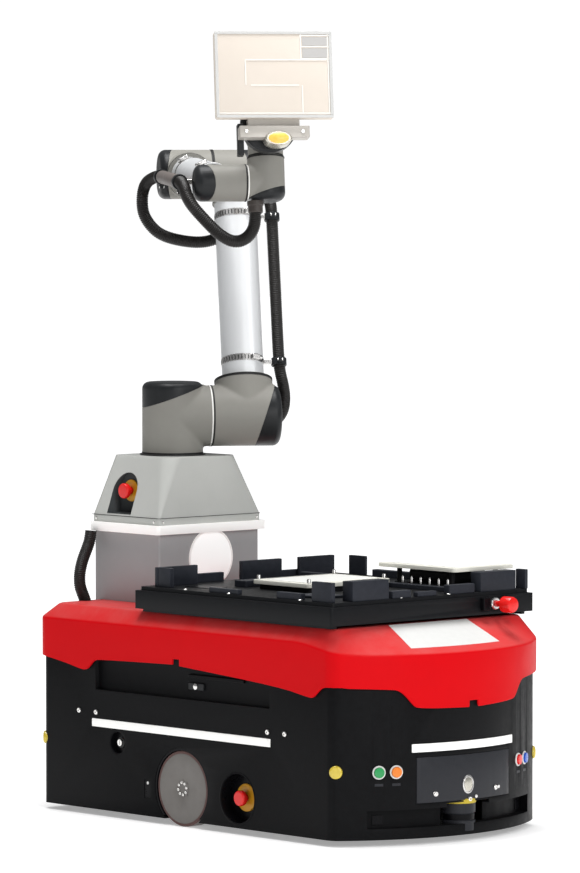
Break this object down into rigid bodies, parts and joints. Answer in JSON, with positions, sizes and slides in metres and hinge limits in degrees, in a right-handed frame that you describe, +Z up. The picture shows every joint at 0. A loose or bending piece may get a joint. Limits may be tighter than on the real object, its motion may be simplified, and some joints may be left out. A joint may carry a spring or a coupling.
{
  "type": "mobile manipulator",
  "caption": "Six-axis jointed arm on a pedestal, carried by a wheeled base with a red hood, a loading tray and a bumper with a scanning slot; the arm holds a flat panel.",
  "frame": {"origin": "floor level under the middle of the overall box", "axes": "+Z up, front of the wheeled base along -Y, width along X"},
  "size_m": [0.6818, 1.238, 1.8259],
  "materials": {
    "black_shell": "satin",
    "red_hood": "gloss",
    "light_diffuser": "frosted",
    "grey_panel": "satin",
    "scanner_body": "satin",
    "yellow_collar": "gloss",
    "steel_fasteners": "satin",
    "amber_lens": "clear",
    "battery_case": "satin",
    "motor_case": "satin",
    "wheel_grey": "satin",
    "caster_steel": "satin",
    "caster_tread": "matte",
    "button_green": "gloss",
    "button_orange": "gloss",
    "button_red": "gloss",
    "button_blue": "gloss",
    "tray_black": "anodised",
    "guide_black": "satin",
    "support_black": "matte",
    "carrier_cream": "satin",
    "pedestal_grey": "satin",
    "cover_grey": "satin",
    "conduit_black": "corrugated",
    "arm_grey": "painted matt",
    "lid_black": "satin",
    "tube_silver": "polished",
    "foot_dark": "machined",
    "clamp_steel": "satin",
    "flange_metal": "machined",
    "disc_black": "satin",
    "bracket_grey": "satin",
    "panel_ivory": "satin"
  },
  "bodies": {
    "base": {"base_shell": "black_shell", "hood_front": "red_hood", "hood_rear": "red_hood", "light_strips": "light_diffuser", "access_panel": "grey_panel", "laser_scanner": "scanner_body", "stop_collars": "yellow_collar", "body_screws": "steel_fasteners", "corner_lamps": "amber_lens", "battery": "battery_case", "drive_motors": "motor_case", "tray_deck": "tray_black", "tray_guides": "guide_black", "carrier_supports": "support_black", "carriers": "carrier_cream", "pedestal_box": "pedestal_grey", "light_band": "light_diffuser", "pedestal_hood": "cover_grey", "pedestal_conduit": "conduit_black", "arm_foot": "foot_dark"},
    "drive_wheel_left": {"drive_wheel_left": "wheel_grey"},
    "drive_wheel_right": {"drive_wheel_right": "wheel_grey"},
    "caster_fork_front": {"caster_fork_front": "caster_steel"},
    "caster_fork_rear": {"caster_fork_rear": "caster_steel"},
    "caster_wheel_front": {"caster_wheel_front": "caster_tread"},
    "caster_wheel_rear": {"caster_wheel_rear": "caster_tread"},
    "button_green": {"button_green": "button_green"},
    "button_orange": {"button_orange": "button_orange"},
    "button_red": {"button_red": "button_red"},
    "button_blue": {"button_blue": "button_blue"},
    "stop_button_left": {"stop_button_left": "button_red"},
    "stop_button_right": {"stop_button_right": "button_red"},
    "stop_button_pedestal": {"stop_button_pedestal": "button_red"},
    "key_lock": {"key_lock": "steel_fasteners"},
    "tray_knob": {"tray_knob": "button_red"},
    "shoulder": {"shoulder_housing": "arm_grey", "shoulder_lid": "lid_black"},
    "upper_arm": {"upper_low_housing": "arm_grey", "upper_low_lid": "lid_black", "upper_tube": "tube_silver", "upper_high_housing": "arm_grey", "upper_high_lid": "lid_black", "upper_clamps": "clamp_steel", "upper_conduit": "conduit_black"},
    "forearm": {"elbow_housing": "arm_grey", "elbow_lid": "lid_black", "fore_tube": "tube_silver", "wrist_1_housing": "arm_grey", "wrist_1_lid": "lid_black", "fore_clamps": "clamp_steel", "elbow_loop": "conduit_black", "wrist_loop": "conduit_black"},
    "wrist_link_1": {"wrist_2_housing": "arm_grey", "wrist_2_lid": "lid_black"},
    "wrist_link_2": {"wrist_3_housing": "arm_grey", "wrist_3_lid": "lid_black"},
    "tool": {"tool_flange": "flange_metal", "sensor_disc": "disc_black", "tool_bracket": "bracket_grey", "held_panel": "panel_ivory"}
  },
  "joints": [
    {"name": "base_turn", "type": "hinge", "parent": "base", "child": "shoulder", "pos_m": [-0.0169, 0.405, 0.828], "axis": [0, 0, 1], "range_deg": [-170, 170]},
    {"name": "shoulder_lift", "type": "hinge", "parent": "shoulder", "child": "upper_arm", "pos_m": [-0.0169, 0.405, 0.92], "axis": [0.829, -0.5592, 0], "range_deg": [-30, 45]},
    {"name": "elbow_bend", "type": "hinge", "parent": "upper_arm", "child": "forearm", "pos_m": [0.1405, 0.53642, 1.49204], "axis": [0.829, -0.5592, 0], "range_deg": [-70, 30], "deforming": ["elbow_loop"]},
    {"name": "wrist_bend", "type": "hinge", "parent": "forearm", "child": "wrist_link_1", "pos_m": [-0.17925, 0.06237, 1.47707], "axis": [0.829, -0.5592, 0], "range_deg": [-60, 60], "deforming": ["wrist_loop"]},
    {"name": "wrist_turn", "type": "hinge", "parent": "wrist_link_1", "child": "wrist_link_2", "pos_m": [-0.08391, -0.00193, 1.47707], "axis": [0.1163, 0.1724, 0.9781], "range_deg": [-30, 120]},
    {"name": "tool_turn", "type": "hinge", "parent": "wrist_link_2", "child": "tool", "pos_m": [-0.07054, 0.01789, 1.58955], "axis": [-0.547, -0.8109, 0.2079], "range_deg": [-170, 170]},
    {"name": "wheel_left_spin", "type": "hinge", "parent": "base", "child": "drive_wheel_left", "pos_m": [-0.3069, 0.013, 0.08775], "axis": [1, 0, 0], "continuous": true},
    {"name": "wheel_right_spin", "type": "hinge", "parent": "base", "child": "drive_wheel_right", "pos_m": [0.2731, 0.013, 0.08775], "axis": [1, 0, 0], "continuous": true},
    {"name": "caster_front_swivel", "type": "hinge", "parent": "base", "child": "caster_fork_front", "pos_m": [-0.0169, -0.395, 0.1], "axis": [0, 0, 1], "continuous": true},
    {"name": "caster_front_spin", "type": "hinge", "parent": "caster_fork_front", "child": "caster_wheel_front", "pos_m": [-0.0169, -0.37, 0.04], "axis": [1, 0, 0], "continuous": true},
    {"name": "caster_rear_swivel", "type": "hinge", "parent": "base", "child": "caster_fork_rear", "pos_m": [-0.0169, 0.377, 0.1], "axis": [0, 0, 1], "continuous": true},
    {"name": "caster_rear_spin", "type": "hinge", "parent": "caster_fork_rear", "child": "caster_wheel_rear", "pos_m": [-0.0169, 0.402, 0.04], "axis": [1, 0, 0], "continuous": true},
    {"name": "button_green_press", "type": "slide", "parent": "base", "child": "button_green", "axis": [-0.4612, -0.8873, 0], "range_m": [-0.004, 0], "stiffness_N_per_m": 400},
    {"name": "button_orange_press", "type": "slide", "parent": "base", "child": "button_orange", "axis": [-0.3863, -0.9224, 0], "range_m": [-0.004, 0], "stiffness_N_per_m": 400},
    {"name": "button_red_press", "type": "slide", "parent": "base", "child": "button_red", "axis": [0.3863, -0.9224, 0], "range_m": [-0.004, 0], "stiffness_N_per_m": 400},
    {"name": "button_blue_press", "type": "slide", "parent": "base", "child": "button_blue", "axis": [0.4612, -0.8873, 0], "range_m": [-0.004, 0], "stiffness_N_per_m": 400},
    {"name": "stop_left_press", "type": "slide", "parent": "base", "child": "stop_button_left", "axis": [-1, 0, 0], "range_m": [-0.006, 0]},
    {"name": "stop_right_press", "type": "slide", "parent": "base", "child": "stop_button_right", "axis": [1, 0, 0], "range_m": [-0.006, 0]},
    {"name": "stop_pedestal_press", "type": "slide", "parent": "base", "child": "stop_button_pedestal", "axis": [-1, 0, 0], "range_m": [-0.006, 0]},
    {"name": "key_turn", "type": "hinge", "parent": "base", "child": "key_lock", "pos_m": [-0.3329, 0.239, 0.176], "axis": [-1, 0, 0], "range_deg": [0, 90]},
    {"name": "knob_pull", "type": "slide", "parent": "base", "child": "tray_knob", "axis": [0, -1, 0], "range_m": [0, 0.012], "stiffness_N_per_m": 600}
  ]
}
